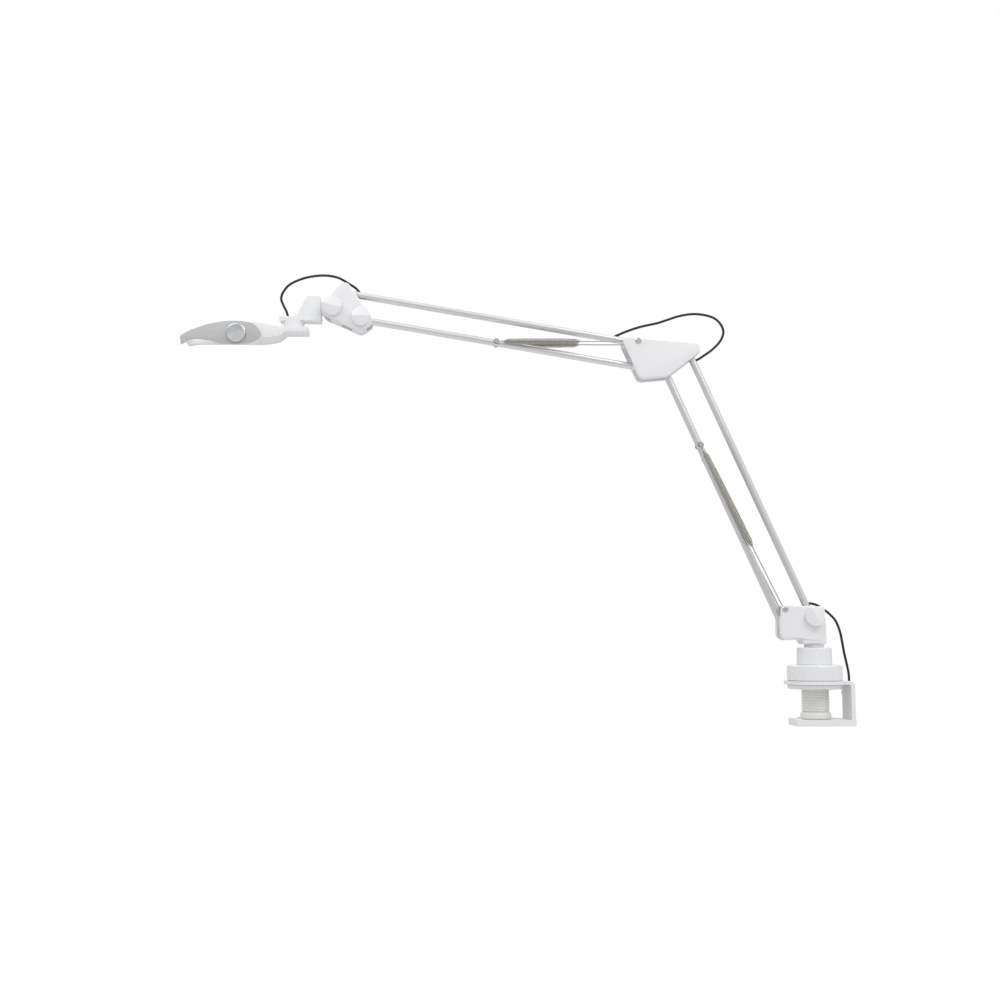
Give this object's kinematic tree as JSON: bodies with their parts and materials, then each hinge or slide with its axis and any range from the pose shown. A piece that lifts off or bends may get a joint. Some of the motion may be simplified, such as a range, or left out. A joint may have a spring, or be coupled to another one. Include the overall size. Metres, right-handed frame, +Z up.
{
  "type": "adjustable arm clamp lamp",
  "caption": "Clamp-on task lamp: a screw clamp carries a swivelling post, two sprung parallelogram arms and a tilting head with side dimmer dial and finger loop.",
  "frame": {"origin": "on the clamp screw axis, at the underside of the lower jaw", "axes": "+Z up, the arms reach out towards -X, the arms move in the Y = 0 plane and the dimmer dial faces -Y"},
  "size_m": [0.9466, 0.128, 0.6376],
  "materials": {
    "white_metal": "white powder coat, satin",
    "white_plastic": "white moulded plastic, semi-gloss",
    "warm_white_plastic": "off-white moulded plastic, satin",
    "silver_tube": "satin silver",
    "silver_panel": "fine satin silver",
    "brushed_aluminium": "turned face, brushed",
    "bright_steel": "bright turned steel",
    "spring_steel": "drawn spring wire",
    "black_cable": "black cable sheath, satin",
    "grey_nylon": "grey nylon",
    "frosted_diffuser": "frosted light diffuser",
    "led_board": "white light board with yellow chips"
  },
  "bodies": {
    "clamp_frame": {"clamp_frame": "white_metal", "clamp_nut": "white_plastic", "lead_clip": "white_plastic", "lead_coil": "black_cable", "lead_plug": "black_cable", "power_lead": "black_cable"},
    "clamp_core": {"post_sleeve": "white_plastic", "screw_foot": "warm_white_plastic"},
    "clamp_screw": {"clamp_screw": "warm_white_plastic", "tightening_ring": "white_plastic"},
    "shoulder": {"shoulder_cover_front": "white_plastic", "shoulder_cover_rear": "white_plastic", "swivel_block": "white_plastic", "shoulder_pin": "bright_steel", "spring_screw_front": "bright_steel", "spring_screw_rear": "bright_steel", "shoulder_knob_nut": "bright_steel"},
    "shoulder_knob": {"shoulder_knob": "white_plastic"},
    "lower_rear_tube": {"lower_rear_tube": "silver_tube", "lower_rear_eye_bottom": "grey_nylon", "lower_rear_eye_top": "grey_nylon", "elbow_cable": "black_cable"},
    "lower_front_tube": {"lower_front_tube": "silver_tube", "lower_front_eye_bottom": "grey_nylon", "lower_front_eye_top": "grey_nylon", "lower_spring_pin": "bright_steel", "lower_spring_front": "spring_steel", "lower_spring_rear": "spring_steel"},
    "elbow": {"elbow_cover_front": "white_plastic", "elbow_cover_rear": "white_plastic", "elbow_screw": "bright_steel", "elbow_pin_front_tube": "bright_steel", "elbow_pin_rear_tube": "bright_steel", "elbow_pin_bottom_tube": "bright_steel"},
    "upper_top_tube": {"upper_top_tube": "silver_tube", "upper_top_eye_elbow": "grey_nylon", "upper_top_eye_wrist": "grey_nylon", "wrist_cable": "black_cable"},
    "upper_bottom_tube": {"upper_bottom_tube": "silver_tube", "upper_bottom_eye_elbow": "grey_nylon", "upper_bottom_eye_wrist": "grey_nylon", "upper_spring_pin": "bright_steel", "upper_spring_front": "spring_steel", "upper_spring_rear": "spring_steel"},
    "wrist": {"wrist_plate_front": "white_plastic", "wrist_plate_rear": "white_plastic", "wrist_pin": "bright_steel", "wrist_knob_nut": "bright_steel", "tilt_knob_nut": "bright_steel"},
    "wrist_knob": {"wrist_knob": "white_plastic"},
    "tilt_knob": {"tilt_knob": "white_plastic"},
    "head_bracket": {"head_bracket": "white_plastic"},
    "head": {"swivel_pin": "bright_steel", "head_shell": "white_plastic", "side_panel_front": "silver_panel", "side_panel_rear": "silver_panel", "diffuser": "frosted_diffuser", "led_board": "led_board"},
    "dimmer_dial": {"dimmer_dial": "brushed_aluminium"}
  },
  "joints": [
    {"name": "clamp_travel", "type": "slide", "parent": "clamp_frame", "child": "clamp_core", "axis": [0, 0, 1], "range_m": [0, 0.028], "deforming": ["power_lead"]},
    {"name": "clamp_turn", "type": "hinge", "parent": "clamp_core", "child": "clamp_screw", "pos_m": [0, 0, 0.07], "axis": [0, 0, 1], "range_deg": [0, 2520]},
    {"name": "base_swivel", "type": "hinge", "parent": "clamp_core", "child": "shoulder", "pos_m": [0, 0, 0.11], "axis": [0, 0, 1], "range_deg": [-120, 120]},
    {"name": "shoulder_knob_turn", "type": "hinge", "parent": "shoulder", "child": "shoulder_knob", "pos_m": [-0.003, 0, 0.151], "axis": [0, 1, 0], "range_deg": [0, 180]},
    {"name": "lower_arm", "type": "hinge", "parent": "shoulder", "child": "lower_rear_tube", "pos_m": [-0.003, 0, 0.151], "axis": [0, 1, 0], "range_deg": [-55, 55], "deforming": ["lower_spring_front", "lower_spring_rear", "elbow_cable"]},
    {"name": "lower_front_follow", "type": "hinge", "parent": "shoulder", "child": "lower_front_tube", "pos_m": [-0.038, 0, 0.125], "axis": [0, 1, 0], "range_deg": [-55, 55]},
    {"name": "elbow_level", "type": "hinge", "parent": "lower_rear_tube", "child": "elbow", "pos_m": [-0.17302, 0, 0.53286], "axis": [0, 1, 0], "range_deg": [-55, 55]},
    {"name": "upper_arm", "type": "hinge", "parent": "elbow", "child": "upper_top_tube", "pos_m": [-0.24552, 0, 0.54096], "axis": [0, 1, 0], "range_deg": [-58, 28], "deforming": ["upper_spring_front", "upper_spring_rear", "wrist_cable"]},
    {"name": "upper_bottom_follow", "type": "hinge", "parent": "elbow", "child": "upper_bottom_tube", "pos_m": [-0.22552, 0, 0.50296], "axis": [0, 1, 0], "range_deg": [-58, 28]},
    {"name": "wrist_level", "type": "hinge", "parent": "upper_top_tube", "child": "wrist", "pos_m": [-0.65778, 0, 0.60995], "axis": [0, 1, 0], "range_deg": [-28, 58]},
    {"name": "wrist_knob_turn", "type": "hinge", "parent": "wrist", "child": "wrist_knob", "pos_m": [-0.63778, 0, 0.57195], "axis": [0, 1, 0], "range_deg": [0, 180]},
    {"name": "tilt_knob_turn", "type": "hinge", "parent": "wrist", "child": "tilt_knob", "pos_m": [-0.67808, 0, 0.58645], "axis": [0, 1, 0], "range_deg": [0, 180]},
    {"name": "head_tilt", "type": "hinge", "parent": "wrist", "child": "head_bracket", "pos_m": [-0.67808, 0, 0.58645], "axis": [0, 1, 0], "range_deg": [-45, 30]},
    {"name": "head_swivel", "type": "hinge", "parent": "head_bracket", "child": "head", "pos_m": [-0.734, 0, 0.56], "axis": [0, 0, 1], "range_deg": [-90, 90]},
    {"name": "dial_turn", "type": "hinge", "parent": "head", "child": "dimmer_dial", "pos_m": [-0.8106, 0, 0.5446], "axis": [0, 1, 0], "range_deg": [-135, 135]}
  ],
  "couplings": [
    {"joint": "clamp_turn", "follows": "clamp_travel", "rad_per_m": 1570.7},
    {"joint": "lower_front_follow", "follows": "lower_arm", "ratio": 1},
    {"joint": "elbow_level", "follows": "lower_arm", "ratio": -1},
    {"joint": "upper_bottom_follow", "follows": "upper_arm", "ratio": 1},
    {"joint": "wrist_level", "follows": "upper_arm", "ratio": -1}
  ]
}
